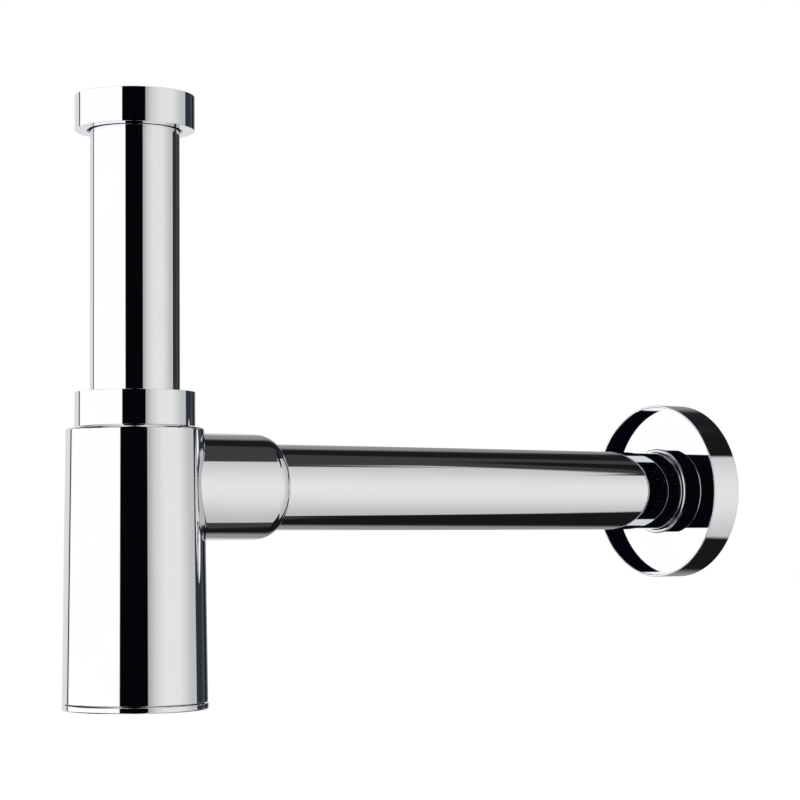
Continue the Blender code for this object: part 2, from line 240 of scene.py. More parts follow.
class Outline:
    """A closed outline that is turned about its piece's axis."""

    ARC_ROWS = 6

    def __init__(self, corners: Sequence[Corner]) -> None:
        """Keeps the corners and checks their order.

        Args:
            corners: The outline's corners, anticlockwise.

        Raises:
            ValueError: The corners run clockwise.
        """
        self.corners = corners
        area = 0.0
        for index, corner in enumerate(self.corners):
            before = self.corners[index - 1]
            area += before.radius * corner.height - corner.radius * before.height
        if area < 0:
            raise ValueError("an outline runs anticlockwise, with the axis on its left")

    def _arc(self, index: int) -> list[Spot]:
        """The points that replace one corner, and the normals there.

        Args:
            index: The corner's place in the outline.

        Returns:
            The arc's spots. A sharp corner gives one, whose normal isn't used.
        """
        count = len(self.corners)
        last, corner, following = (self.corners[(index + step) % count] for step in (-1, 0, 1))
        here = Vector((corner.radius, corner.height))
        if corner.rounding <= 0:
            return [(here, Vector((0.0, 0.0)))]
        before = Vector((last.radius, last.height)) - here
        after = Vector((following.radius, following.height)) - here
        half_angle = before.angle(after) / 2
        reach = min(
            corner.rounding / math.tan(half_angle), before.length / 2, after.length / 2
        )
        arc_radius = reach * math.tan(half_angle)
        middle = (before.normalized() + after.normalized()).normalized()
        centre = here + middle * (arc_radius / math.sin(half_angle))
        start = here + before.normalized() * reach - centre
        end = here + after.normalized() * reach - centre
        turn = start.x * end.y - start.y * end.x
        sweep = math.copysign(start.angle(end), turn)
        outward = 1.0 if turn > 0 else -1.0
        spots: list[Spot] = []
        for row in range(self.ARC_ROWS + 1):
            angle = sweep * row / self.ARC_ROWS
            cosine, sine = math.cos(angle), math.sin(angle)
            spoke = Vector((start.x * cosine - start.y * sine, start.x * sine + start.y * cosine))
            spots.append((centre + spoke, spoke.normalized() * outward))
        return spots

    def stretches(self) -> list[Stretch]:
        """Splits the outline into straight stretches and the short ones along its arcs.

        Returns:
            The stretches in order, the last of which ends where the first starts.
        """
        arcs = [self._arc(index) for index in range(len(self.corners))]
        found: list[Stretch] = []
        for corner, arc, following in zip(self.corners, arcs, arcs[1:] + arcs[:1]):
            for (start, start_normal), (end, end_normal) in zip(arc, arc[1:]):
                found.append(Stretch(start, end, start_normal, end_normal, corner.surface))
            start, end = arc[-1][0], following[0][0]
            along = end - start
            if along.length >= Skin.GRAIN:
                normal = Vector((along.y, -along.x)).normalized()
                found.append(Stretch(start, end, normal, normal, corner.surface, corner.thread))
        return found


def make_ring(spot: Callable[[float], Spot], facets: int) -> Ring:
    """A ring of the spots that a function gives for each angle, in radians."""
    return [spot(math.tau * index / facets) for index in range(facets)]


def turned_ring(place: Flat, normal: Flat, facets: int) -> Ring:
    """A round ring about the Z axis.

    Args:
        place: The ring's radius and height.
        normal: The outline's normal there.
        facets: How many points it has.

    Returns:
        The ring.
    """

    def spot(turn: float) -> Spot:
        """The outline's point and normal, turned by an angle."""
        cosine, sine = math.cos(turn), math.sin(turn)
        return tuple(Vector((out * cosine, out * sine, up)) for out, up in (place, normal))

    return make_ring(spot, facets)


def threaded_ring(stretch: Stretch, share: float, facets: int) -> Ring:
    """A ring on a threaded stretch.

    Args:
        stretch: The stretch, which runs along the axis.
        share: How far along the stretch the ring lies, from 0 to 1.
        facets: How many points it has.

    Returns:
        The ring, with the normals of the thread's flanks.
    """
    low, high = sorted((stretch.start.y, stretch.end.y))
    place = stretch.start.lerp(stretch.end, share)
    outward = stretch.start_normal.x
    step = 1e-6

    def spot(turn: float) -> Spot:
        """The thread's surface at an angle.

        Args:
            turn: The angle, in radians.

        Returns:
            The point and its normal.
        """
        below, depth, above = (
            stretch.thread.sink(place.y + offset, turn, low, high) for offset in (-step, 0.0, step)
        )
        radial = Vector((math.cos(turn), math.sin(turn), 0.0))
        point = radial * (place.x - outward * depth) + Vector((0.0, 0.0, place.y))
        rise = Vector((0.0, 0.0, (above - below) / (2 * step)))
        return point, (radial * outward + rise).normalized()

    return make_ring(spot, facets)


def turned(
    corners: Sequence[Corner],
    fineness: Fineness,
    row_length: float = 0.0,
    keep: Callable[[Sequence[Vector]], bool] | None = None,
) -> Skin:
    """Turns a closed outline about the Z axis.

    Args:
        corners: The outline's corners, anticlockwise.
        fineness: Facets round the turn.
        row_length: The longest row along a stretch, or 0 for one row each.
        keep: A test of a face's corners, for pieces with a hole.

    Returns:
        The piece's faces.
    """
    skin = Skin()
    facets = fineness.value
    for stretch in Outline(corners).stretches():
        start, end = stretch.start, stretch.end
        if stretch.thread is not None:
            turns = abs(end.y - start.y) / stretch.thread.pitch
            rows = max(1, math.ceil(turns * stretch.thread.rows_per_turn))
            rings = [threaded_ring(stretch, row / rows, facets) for row in range(rows + 1)]
        else:
            rows = max(1, math.ceil((end - start).length / row_length)) if row_length else 1
            rings = []
            for row in range(rows + 1):
                share = row / rows
                normal = stretch.start_normal.lerp(stretch.end_normal, share).normalized()
                rings.append(turned_ring(start.lerp(end, share), normal, facets))
        skin.join_rings(rings, stretch.surface, keep)
    return skin


def cord_ring(bore: float, height: float, cord: float) -> Skin:
    """A ring of round cord about the Z axis.

    Args:
        bore: The ring's inner radius.
        height: The height of the cord's middle.
        cord: The cord's diameter.

    Returns:
        The ring's faces.
    """
    rows = 16
    half = cord / 2
    rings: list[Ring] = []
    for row in range(rows + 1):
        angle = math.tau * row / rows
        spoke = (math.cos(angle), math.sin(angle))
        place = (bore + half + half * spoke[0], height + half * spoke[1])
        rings.append(turned_ring(place, spoke, Fineness.RING.value))
    skin = Skin()
    skin.join_rings(rings)
    return skin


class NodeSheet:
    """A short way to lay shader nodes in a tree and join them.

    A noise value's middle range runs from its low to its high number here.
    """

    NOISE_LOW = 0.3
    NOISE_HIGH = 0.7

    def __init__(self, tree: bpy.types.NodeTree) -> None:
        """Keeps the tree.

        Args:
            tree: The material's, group's or world's node tree.
        """
        self.tree = tree

    def fill(self, node: bpy.types.Node, inputs: Mapping[str | int, object]) -> bpy.types.Node:
        """Joins or sets a node's inputs.

        Args:
            node: The node.
            inputs: A socket, a number or a colour for each input's name or place.

        Returns:
            The node.
        """
        for key, value in inputs.items():
            if isinstance(value, bpy.types.NodeSocket):
                self.tree.links.new(value, node.inputs[key])
            else:
                node.inputs[key].default_value = value
        return node

    def add(
        self, kind: str, inputs: Mapping[str | int, object] | None = None, **settings: object
    ) -> bpy.types.Node:
        """Adds a node.

        Args:
            kind: The node's type.
            inputs: What its inputs get, as in fill.
            settings: Its properties, which are set first.

        Returns:
            The node.
        """
        node = self.tree.nodes.new(kind)
        for name, value in settings.items():
            setattr(node, name, value)
        return self.fill(node, inputs or {})

    def math(self, operation: str, first: object, second: object) -> bpy.types.NodeSocket:
        """A Math node's result for two sockets or numbers."""
        return self.add("ShaderNodeMath", {0: first, 1: second}, operation=operation).outputs[0]

    def noise(
        self, vector: bpy.types.NodeSocket, scale: float, detail: float
    ) -> bpy.types.NodeSocket:
        """A Noise Texture's value at the given coordinates."""
        inputs = {"Vector": vector, "Scale": scale, "Detail": detail}
        return self.add("ShaderNodeTexNoise", inputs).outputs["Fac"]

    def stretch(self, vector: bpy.types.NodeSocket, scale: Place) -> bpy.types.NodeSocket:
        """Coordinates scaled by a different number on each axis."""
        return self.add("ShaderNodeMapping", {"Scale": scale, "Vector": vector}).outputs["Vector"]

    def spread(
        self, value: bpy.types.NodeSocket, low: object, high: object
    ) -> bpy.types.NodeSocket:
        """Takes a noise value's middle range to a given range.

        Args:
            value: The noise.
            low: Result at the middle range's low end, a number or a socket.
            high: Result at its high end.

        Returns:
            The result's socket.
        """
        inputs = {
            "Value": value,
            "From Min": self.NOISE_LOW,
            "From Max": self.NOISE_HIGH,
            "To Min": low,
            "To Max": high,
        }
        return self.add("ShaderNodeMapRange", inputs, clamp=True).outputs["Result"]

    def blend(
        self, share: bpy.types.NodeSocket, first: object, second: object
    ) -> bpy.types.NodeSocket:
        """The colour between two colours or sockets, by a share."""
        inputs = {"Factor": share, "A": first, "B": second}
        return self.add("ShaderNodeMix", inputs, data_type="RGBA").outputs["Result"]


def new_group(
    name: str, inputs: Mapping[str, float | None], outputs: Sequence[str]
) -> tuple[NodeSheet, bpy.types.Node, bpy.types.Node]:
    """Makes an empty shader group with named sockets.

    Args:
        name: The group's name.
        inputs: Each input's default, or None where it takes coordinates.
        outputs: The names of the numbers that it gives.

    Returns:
        A sheet on the group, and its input and output nodes.
    """
    group = bpy.data.node_groups.new(name, "ShaderNodeTree")
    for label, default in inputs.items():
        kind = "NodeSocketVector" if default is None else "NodeSocketFloat"
        socket = group.interface.new_socket(label, in_out="INPUT", socket_type=kind)
        if default is not None:
            socket.default_value = default
    for label in outputs:
        group.interface.new_socket(label, in_out="OUTPUT", socket_type="NodeSocketFloat")
    sheet = NodeSheet(group)
    return sheet, sheet.add("NodeGroupInput"), sheet.add("NodeGroupOutput")


EFFECT_INPUTS = {"Coordinates": None, "Lower roughness": 0.0, "Upper roughness": 1.0}
EFFECT_OUTPUTS = ("Tone", "Roughness", "Height")


@cache
def buffed_metal() -> bpy.types.NodeTree:
    """Buffing marks and faint haze on turned metal, shared by the plated and the bare brass.

    Returns:
        A group that gives a tone mask, a roughness and a height.
    """
    haze_scale, sweep_scale, mark_scale = 38.0, 16.0, (40.0, 40.0, 2600.0)
    mark_share, mark_height = 0.3, 0.06
    sheet, entry, leave = new_group("Buffed metal", EFFECT_INPUTS, EFFECT_OUTPUTS)
    place = entry.outputs["Coordinates"]
    haze = sheet.noise(place, haze_scale, detail=3.0)
    marks = sheet.noise(sheet.stretch(place, mark_scale), 1.0, detail=2.0)
    sweep = sheet.noise(place, sweep_scale, detail=1.0)
    dullness = sheet.math(
        "ADD",
        sheet.math("MULTIPLY", haze, 1.0 - mark_share),
        sheet.math("MULTIPLY", marks, mark_share),
    )
    height = sheet.math("ADD", sheet.math("MULTIPLY", marks, mark_height), sweep)
    lower, upper = entry.outputs["Lower roughness"], entry.outputs["Upper roughness"]
    roughness = sheet.spread(dullness, lower, upper)
    sheet.fill(leave, {"Tone": haze, "Roughness": roughness, "Height": height})
    return sheet.tree


@cache
def moulded_grain() -> bpy.types.NodeTree:
    """The fine grain and the cloudy tone of moulded rubber and nylon.

    Returns:
        A group that gives a tone mask, a roughness and a height.
    """
    cloud_scale, grain_scale = 90.0, 2600.0
    sheet, entry, leave = new_group("Moulded grain", EFFECT_INPUTS, EFFECT_OUTPUTS)
    place = entry.outputs["Coordinates"]
    cloud = sheet.noise(place, cloud_scale, detail=4.0)
    lower, upper = entry.outputs["Lower roughness"], entry.outputs["Upper roughness"]
    results = {
        "Tone": sheet.spread(cloud, 0.0, 1.0),
        "Roughness": sheet.spread(cloud, lower, upper),
        "Height": sheet.noise(place, grain_scale, detail=2.0),
    }
    sheet.fill(leave, results)
    return sheet.tree


@dataclass(frozen=True)
class Finish:
    """A finish whose tone, roughness and relief vary over the surface by a shared effect."""

    name: str
    colour: Colour
    other_colour: Colour
    lower_roughness: float
    upper_roughness: float
    relief: float

    METALLIC = 0.0
    BUMP = 1.0
    EFFECT = staticmethod(buffed_metal)

    def material(self) -> bpy.types.Material:
        """Builds the material, or returns the one already built.

        Returns:
            The material.
        """
        if self.name in bpy.data.materials:
            return bpy.data.materials[self.name]
        made = bpy.data.materials.new(self.name)
        made.use_nodes = True
        sheet = NodeSheet(made.node_tree)
        inputs = {
            "Coordinates": sheet.add("ShaderNodeTexCoord").outputs["Object"],
            "Lower roughness": self.lower_roughness,
            "Upper roughness": self.upper_roughness,
        }
        given = sheet.add("ShaderNodeGroup", inputs, node_tree=self.EFFECT()).outputs
        colours = [(*colour, 1.0) for colour in (self.colour, self.other_colour)]
        relief = {"Strength": self.BUMP, "Distance": self.relief, "Height": given["Height"]}
        surface = {
            "Metallic": self.METALLIC,
            "Base Color": sheet.blend(given["Tone"], *colours),
            "Roughness": given["Roughness"],
            "Normal": sheet.add("ShaderNodeBump", relief).outputs["Normal"],
        }
        sheet.fill(made.node_tree.nodes["Principled BSDF"], surface)
        return made


class MetalFinish(Finish):
    """A polished metal with buffing marks."""

    METALLIC = 1.0


class MouldedFinish(Finish):
    """Moulded rubber or nylon."""

    BUMP = 0.6
    EFFECT = staticmethod(moulded_grain)


CHROME = MetalFinish(
    "polished chrome plate", (0.88, 0.885, 0.90), (0.84, 0.85, 0.87), 0.012, 0.035, 0.0000012
)
BRASS = MetalFinish(
    "bare turned brass", (0.78, 0.60, 0.34), (0.62, 0.46, 0.25), 0.18, 0.34, 0.000004
)
RUBBER = MouldedFinish(
    "black moulded rubber", (0.018, 0.018, 0.020), (0.034, 0.034, 0.036), 0.45, 0.66, 0.00002
)
NYLON = MouldedFinish(
    "white moulded nylon", (0.78, 0.78, 0.74), (0.70, 0.70, 0.66), 0.32, 0.48, 0.00001
)


@dataclass(frozen=True)
class Dress:
    """What a piece is made of: the record's slot, and its finishes in the order of Surface."""

    slot: Slot
    finishes: tuple[Finish, ...]


PLATED_BRASS = Dress(Slot.CHROME, (CHROME, BRASS))
FULL_CHROME = Dress(Slot.CHROME, (CHROME,))
RUBBER_SEAL = Dress(Slot.RUBBER, (RUBBER,))
NYLON_RING = Dress(Slot.NYLON, (NYLON,))
UPRIGHT = Matrix.Identity(4)
# Roundings of edges, and the gap that seated pieces keep.
EDGE = 0.0003
SOFT_EDGE = 0.0002
FINE_EDGE = 0.0001
GAP = 0.0003


def add_piece(
    name: str, skin: Skin, body: str, dress: Dress, axis: Matrix = UPRIGHT, node: str = ""
) -> bpy.types.Object:
    """Adds a finished piece that moves with a body.

    Args:
        name: The piece's name.
        skin: Its faces, about its own Z axis.
        body: The body that it moves with.
        dress: Its slot and finishes.
        axis: Where its Z axis stands in the part.
        node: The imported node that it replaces, if any.

    Returns:
        The new object.
    """
    piece = bpy.data.objects.new(name, skin.to_mesh(node or name))
    for finish in dress.finishes:
        piece.data.materials.append(finish.material())
    bpy.context.scene.collection.objects.link(piece)
    piece.matrix_world = axis
    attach(piece, body)
    if node:
        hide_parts(node)
    LOG.info("%s: %d faces, rides on %s", name, len(piece.data.polygons), body)
    return piece


def dress_node(
    node: str, skin: Skin, body: str, dress: Dress, axis: Matrix = UPRIGHT
) -> bpy.types.Object:
    """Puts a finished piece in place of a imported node."""
    return add_piece(f"{node}_dressed", skin, body, dress, axis, node)


@dataclass(frozen=True)
class Gauge:
    """The sizes that the pieces share."""

    tube_radius: float = 0.0160
    tube_bore: float = 0.0150
    guide: float = 0.0163
    nut_bore: float = 0.0195
    nut_radius: float = 0.0214
    nut_height: float = 0.0123
    nut_lip: float = 0.0022
    nut_entry: float = 0.0008
    neck_radius: float = 0.0192
    neck_top: float = 0.1069
    seat_flare: float = 0.0020
    seat_depth: float = 0.0040
    deck: float = 0.0994
    foot: float = 0.0025
    outlet_height: float = 0.0789
    outlet_ring_cord: float = 0.0016
    outlet_ring_places: tuple[float, float] = (0.0389, 0.0469)
    thread: Thread = Thread(0.0015, 0.00045)

    def outlet_axis(self) -> Matrix:
        """The outlet's axis, whose Z runs along +X of the part."""
        turn = Matrix.Rotation(math.pi / 2, 4, "Y")
        return Matrix.Translation((0.0, 0.0, self.outlet_height)) @ turn

    def nut(self, bottom: float, hole: float, lip_at_top: bool) -> list[Corner]:
        """A round nut with an inward lip and a threaded bore.

        Args:
            bottom: The nut's underside.
            hole: Radius of the hole in the lip.
            lip_at_top: Whether the lip is at the top or at the bottom.

        Returns:
            The outline's corners.
        """
        top = bottom + self.nut_height
        bore = self.nut_bore
        outside = [
            Corner(self.nut_radius, bottom, FINE_EDGE),
            Corner(self.nut_radius, top, FINE_EDGE),
        ]
        if lip_at_top:
            shelf = top - self.nut_lip
            return outside + [
                Corner(hole, top, FINE_EDGE),
                bare(hole, shelf),
                bare(bore, shelf, thread=self.thread),
                bare(bore, bottom + EDGE),
                Corner(bore + EDGE, bottom),
            ]
        shelf = bottom + self.nut_lip
        return outside + [
            bare(bore + self.nut_entry, top),
            bare(bore, top - self.nut_entry, thread=self.thread),
            bare(bore, shelf),
            Corner(hole, shelf),
            Corner(hole, bottom, FINE_EDGE),
        ]


@dataclass
class Inlet:
    """The dip tube with its turned-out head, the washer on it, and the union nut."""

    gauge: Gauge
    dip_end: float = 0.0139
    head_bottom: float = 0.2086
    head_top: float = 0.2101
    head_radius: float = 0.0191
    head_root: float = 0.0006
    mouth_round: float = 0.0005
    union_bottom: float = 0.2061
    union_hole: float = 0.0170
    washer_bottom: float = 0.2104
    washer_top: float = 0.2128

    def build(self) -> None:
        """Builds and dresses the tube, the washer and the union nut."""
        radius, bore, head = self.gauge.tube_radius, self.gauge.tube_bore, self.head_radius
        tube = [
            Corner(bore, self.dip_end),
            Corner(radius, self.dip_end),
            Corner(radius, self.head_bottom, self.head_root),
            Corner(head, self.head_bottom, EDGE),
            Corner(head, self.head_top, EDGE),
            bare(bore, self.head_top, self.mouth_round),
        ]
        washer = [
            Corner(bore, self.washer_bottom, SOFT_EDGE),
            Corner(head, self.washer_bottom, SOFT_EDGE),
            Corner(head, self.washer_top, EDGE),
            Corner(bore, self.washer_top, EDGE),
        ]
        nut = self.gauge.nut(self.union_bottom, self.union_hole, lip_at_top=False)
        dress_node("inlet_tube", turned(tube, Fineness.TUBE), "inlet", PLATED_BRASS)
        dress_node("inlet_washer", turned(washer, Fineness.RING), "inlet", RUBBER_SEAL)
        dress_node("inlet_union_nut", turned(nut, Fineness.WIDE), "union_nut", PLATED_BRASS)


@dataclass
class Gland:
    """The collar nut with the slip ring and the cone seal under it."""

    gauge: Gauge
    collar_bottom: float = 0.0999
    ring_bottom: float = 0.1089
    ring_top: float = 0.1097
    seal_toe: float = 0.10437
    seal_top: float = 0.1086
    toe_round: float = 0.00015

    def build(self) -> None:
        """Builds and dresses the three pieces."""
        gauge = self.gauge
        nut = gauge.nut(self.collar_bottom, gauge.guide, lip_at_top=True)
        slip_ring = [
            Corner(gauge.guide, self.ring_bottom, FINE_EDGE),
            Corner(gauge.neck_radius, self.ring_bottom, FINE_EDGE),
            Corner(gauge.neck_radius, self.ring_top, FINE_EDGE),
            Corner(gauge.guide, self.ring_top, FINE_EDGE),
        ]
        dress_node("collar_nut", turned(nut, Fineness.WIDE), "collar", PLATED_BRASS)
        dress_node("collar_slip_ring", turned(slip_ring, Fineness.RING), "slip_ring", NYLON_RING)
        dress_node("collar_cone_seal", turned(self._seal(), Fineness.RING), "height_seal", RUBBER_SEAL)

    def _seal(self) -> list[Corner]:
        """The cone seal, whose head lies on the neck.

        Returns:
            The outline's corners.
        """
        gauge = self.gauge
        head_bottom = gauge.neck_top + GAP
        slope = gauge.seat_flare / gauge.seat_depth
        cone_gap = GAP * math.hypot(1.0, slope)
        cone_top = gauge.guide + gauge.seat_flare - cone_gap + GAP * slope
        toe = cone_top - (head_bottom - self.seal_toe) * slope
        return [
            Corner(gauge.guide, self.seal_toe),
            Corner(toe, self.seal_toe, self.toe_round),
            Corner(cone_top, head_bottom, SOFT_EDGE),
            Corner(gauge.neck_radius, head_bottom, EDGE),
            Corner(gauge.neck_radius, self.seal_top, EDGE),
            Corner(gauge.guide, self.seal_top, SOFT_EDGE),
        ]


@dataclass
class Bottle:
    """The tapered bottle with its neck, its open foot and the socket on its side.

    The shell is open where the socket meets it, up to the opening lap inside the socket's radius.
    The socket's fillet covers that edge on the outside. On the inside the socket's own end covers
    it, out to the inner lap, and lies a hair in front of the shell's inner surface.
    """

    gauge: Gauge
    top_radius: float = 0.0245
    foot_radius: float = 0.02575
    wall: float = 0.0016
    top_round: float = 0.0010
    ceiling_round: float = 0.0015
    deck_thickness: float = 0.0025
    land_radius: float = 0.0227
    land_top: float = 0.0105
    land_slope: float = 0.0014
    ring_pocket_radius: float = 0.0246
    ring_pocket_top: float = 0.0044
    socket_radius: float = 0.0195
    socket_end: float = 0.0554
    socket_mouth: float = 0.0165
    shoulder: float = 0.0062
    stop: float = 0.0284
    fillet: float = 0.0008
    opening_lap: float = 0.0008
    inner_lap: float = 0.0002
    inner_hair: float = 0.00003
    row: float = 0.0011

    FACETS = Fineness.TUBE.value
    FILLET_ROWS = 8
    SHOULDER_ROWS = 14

    def build(self) -> None:
        """Builds and dresses the bottle and its socket, which moves with it."""
        shell = turned(self._shell(), Fineness.WIDE, self.row, self._clear_of_socket)
        dress_node("trap_body", shell, "bottle", PLATED_BRASS)
        outside = self._fillet_rings() + self._shoulder_rings()
        socket = Skin()
        socket.join_rings(outside)
        socket.join_rings([outside[-1], *self._bore_rings()], Surface.BARE)
        axis = self.gauge.outlet_axis()
        add_piece("trap_body_socket", socket, "bottle", PLATED_BRASS, axis)

    def outer_radius(self, height: float) -> float:
        """The bottle's outer radius at a height."""
        share = (height - self.gauge.foot) / (self.gauge.deck - self.gauge.foot)
        return self.foot_radius + (self.top_radius - self.foot_radius) * share

    def _shell(self) -> list[Corner]:
        """The bottle without its socket.

        Returns:
            The outline's corners, from the foot's inner edge round the outside to the inside.
        """
        gauge = self.gauge
        ceiling = gauge.deck - self.deck_thickness
        chamber = self.land_top + self.land_slope
        return [
            Corner(self.ring_pocket_radius, gauge.foot),
            Corner(self.foot_radius, gauge.foot, EDGE),
            Corner(self.top_radius, gauge.deck, self.top_round),
            Corner(gauge.neck_radius, gauge.deck, thread=gauge.thread),
            Corner(gauge.neck_radius, gauge.neck_top, EDGE),
            bare(gauge.guide + gauge.seat_flare, gauge.neck_top),
            bare(gauge.guide, gauge.neck_top - gauge.seat_depth),
            bare(gauge.guide, ceiling),
            bare(self.outer_radius(ceiling) - self.wall, ceiling, self.ceiling_round),
            bare(self.outer_radius(chamber) - self.wall, chamber),
            bare(self.land_radius, self.land_top, thread=gauge.thread),
            bare(self.land_radius, self.ring_pocket_top),
            bare(self.ring_pocket_radius, self.ring_pocket_top),
        ]

    def _clear_of_socket(self, points: Sequence[Vector]) -> bool:
        """Whether a face of the shell lies outside the socket's wall.

        Args:
            points: The face's corners.

        Returns:
            False for a face that the socket opens.
        """
        limit = self.socket_radius - self.opening_lap
        for point in points:
            offset = math.hypot(point.y, point.z - self.gauge.outlet_height)
            if point.x <= 0 or offset >= limit or point.z > self.gauge.deck - FINE_EDGE:
                return True
        return False

    def _on_shell(self, flat: Vector, inset: float) -> float:
        """How far along the outlet's axis the shell is met.

        Args:
            flat: A point across the outlet's axis.
            inset: How far inside the bottle's outer surface, or outside if below zero.

        Returns:
            The distance from the bottle's axis.
        """
        radius = self.outer_radius(self.gauge.outlet_height - flat.x) - inset
        return math.sqrt(radius**2 - flat.y**2)

    def _fillet_rings(self) -> list[Ring]:
        """The rolled corner between bottle and socket.

        Returns:
            The rings, from the bottle to the socket.
        """
        ball = self.socket_radius + self.fillet

        def rolled(turn: float, share: float) -> Spot:
            """A spot on the corner, a share of the way from the bottle to the socket.

            Args:
                turn: Its angle round the outlet's axis.
                share: From 0 to 1.

            Returns:
                The point and its normal.
            """
            radial = Vector((math.cos(turn), math.sin(turn), 0.0))
            flat = radial * ball
            centre = flat + Vector((0.0, 0.0, self._on_shell(flat, -self.fillet)))
            outward = Vector((0.0, centre.y, centre.z)).normalized()
            normal = outward.slerp(radial, share)
            return centre - normal * self.fillet, normal

        shares = [row / self.FILLET_ROWS for row in range(self.FILLET_ROWS + 1)]
        return [make_ring(partial(rolled, share=share), self.FACETS) for share in shares]

    def _shoulder_rings(self) -> list[Ring]:
        """The socket's round shoulder.

        Returns:
            The rings, from the barrel to the mouth.
        """
        drop = self.socket_radius - self.socket_mouth
        start = self.socket_end - self.shoulder
        rings: list[Ring] = []
        for row in range(self.SHOULDER_ROWS + 1):
            angle = math.pi / 2 * row / self.SHOULDER_ROWS
            cosine, sine = math.cos(angle), math.sin(angle)
            place = (self.socket_mouth + drop * cosine, start + self.shoulder * sine)
            normal = Vector((cosine / drop, sine / self.shoulder)).normalized()
            rings.append(turned_ring(place, normal, self.FACETS))
        return rings

    def _bore_rings(self) -> list[Ring]:
        """The socket's mouth and stepped bore, and its edge on the shell's inner surface.

        Returns:
            The rings, from the mouth inwards.
        """
        guide, bore = self.gauge.guide, self.gauge.tube_bore
        inward, outward, outlet_end = (-1.0, 0.0), (0.0, -1.0), (0.0, 1.0)
        places: list[tuple[Flat, Flat]] = [
            ((self.socket_mouth, self.socket_end), outlet_end),
            ((guide + FINE_EDGE, self.socket_end), outlet_end),
            ((guide, self.socket_end - FINE_EDGE), inward),
        ]
        half = self.gauge.outlet_ring_cord / 2 + GAP
        groove = guide + self.gauge.outlet_ring_cord + GAP
        for middle in reversed(self.gauge.outlet_ring_places):
            near, far = middle + half, middle - half
            places += [
                ((guide, near), inward),
                ((guide, near), outward),
                ((groove, near), outward),
                ((groove, near), inward),
                ((groove, far), inward),
                ((groove, far), outlet_end),
                ((guide, far), outlet_end),
                ((guide, far), inward),
            ]
        places += [
            ((guide, self.stop), inward),
            ((guide, self.stop), outlet_end),
            ((bore, self.stop), outlet_end),
            ((bore, self.stop), inward),
        ]
        rings = [turned_ring(place, normal, self.FACETS) for place, normal in places]
        lap = self.socket_radius - self.inner_lap
        for radius, in_bore in ((bore, True), (bore, False), (lap, False)):
            spot = partial(self._inner_spot, radius=radius, in_bore=in_bore)
            rings.append(make_ring(spot, self.FACETS))
        return rings

    def _inner_spot(self, turn: float, radius: float, in_bore: bool) -> Spot:
        """A spot on the shell's inner surface.

        Args:
            turn: Its angle round the outlet's axis.
            radius: Its distance from that axis.
            in_bore: Whether it has the bore's normal, or else the inner surface's.

        Returns:
            The point and its normal.
        """
        flat = Vector((radius * math.cos(turn), radius * math.sin(turn), 0.0))
        reach = self._on_shell(flat, self.wall + self.inner_hair)
        if in_bore:
            normal = Vector((-math.cos(turn), -math.sin(turn), 0.0))
        else:
            normal = -Vector((0.0, flat.y, reach)).normalized()
        return flat + Vector((0.0, 0.0, reach)), normal


@dataclass
class Base:
    """The screwed base cap and its sealing ring."""

    gauge: Gauge
    rim_radius: float = 0.0259
    rim_height: float = 0.0022
    rim_round: float = 0.0006
    plug_radius: float = 0.0224
    plug_bore: float = 0.0202
    plug_top: float = 0.0092
    plug_round: float = 0.0005
    ring_cord: float = 0.0016
    hole_radius: float = 0.0025
    hole_depth: float = 0.0013
    hole_offset: float = 0.0140

    def build(self) -> None:
        """Builds the cap, with two blind holes for a pin spanner in its underside, and its ring."""
        outline = [
            Corner(0.0, 0.0),
            Corner(self.rim_radius, 0.0, self.rim_round),
            Corner(self.rim_radius, self.rim_height, EDGE),
            Corner(self.plug_radius, self.rim_height, thread=self.gauge.thread),
            Corner(self.plug_radius, self.plug_top, self.plug_round),
            bare(self.plug_bore, self.plug_top, EDGE),
            bare(self.plug_bore, self.rim_height, self.plug_round),
            bare(0.0, self.rim_height),
        ]
        cap = dress_node("base_cap", turned(outline, Fineness.WIDE), "cap", PLATED_BRASS)
        for side in (-1, 1):
            self._drill(cap, side * self.hole_offset)
        height = self.rim_height + GAP + self.ring_cord / 2
        ring = cord_ring(self.plug_radius + GAP, height, self.ring_cord)
        dress_node("base_cap_ring", ring, "cap_ring", RUBBER_SEAL)

    def _drill(self, cap: bpy.types.Object, place: float) -> None:
        """Cuts one blind hole in the cap's underside.

        Args:
            cap: The cap.
            place: The hole's place along Y.
        """
        outline = [
            Corner(0.0, -self.hole_depth),
            Corner(self.hole_radius, -self.hole_depth),
            Corner(self.hole_radius, self.hole_depth),
            Corner(0.0, self.hole_depth),
        ]
        drill = turned(outline, Fineness.HOLE)
        tool = bpy.data.objects.new("drill", drill.to_mesh("drill"))
        tool.data.materials.append(CHROME.material())
        bpy.context.scene.collection.objects.link(tool)
        tool.location = (0.0, place, 0.0)
        cut = cap.modifiers.new("pin hole", "BOOLEAN")
        cut.operation = "DIFFERENCE"
        cut.solver = "EXACT"
        cut.object = tool
        bpy.context.view_layer.update()
        graph = bpy.context.evaluated_depsgraph_get()
        drilled = bpy.data.meshes.new_from_object(cap.evaluated_get(graph))
        cap.modifiers.clear()
        cap.data = drilled
        bpy.data.objects.remove(tool, do_unlink=True)


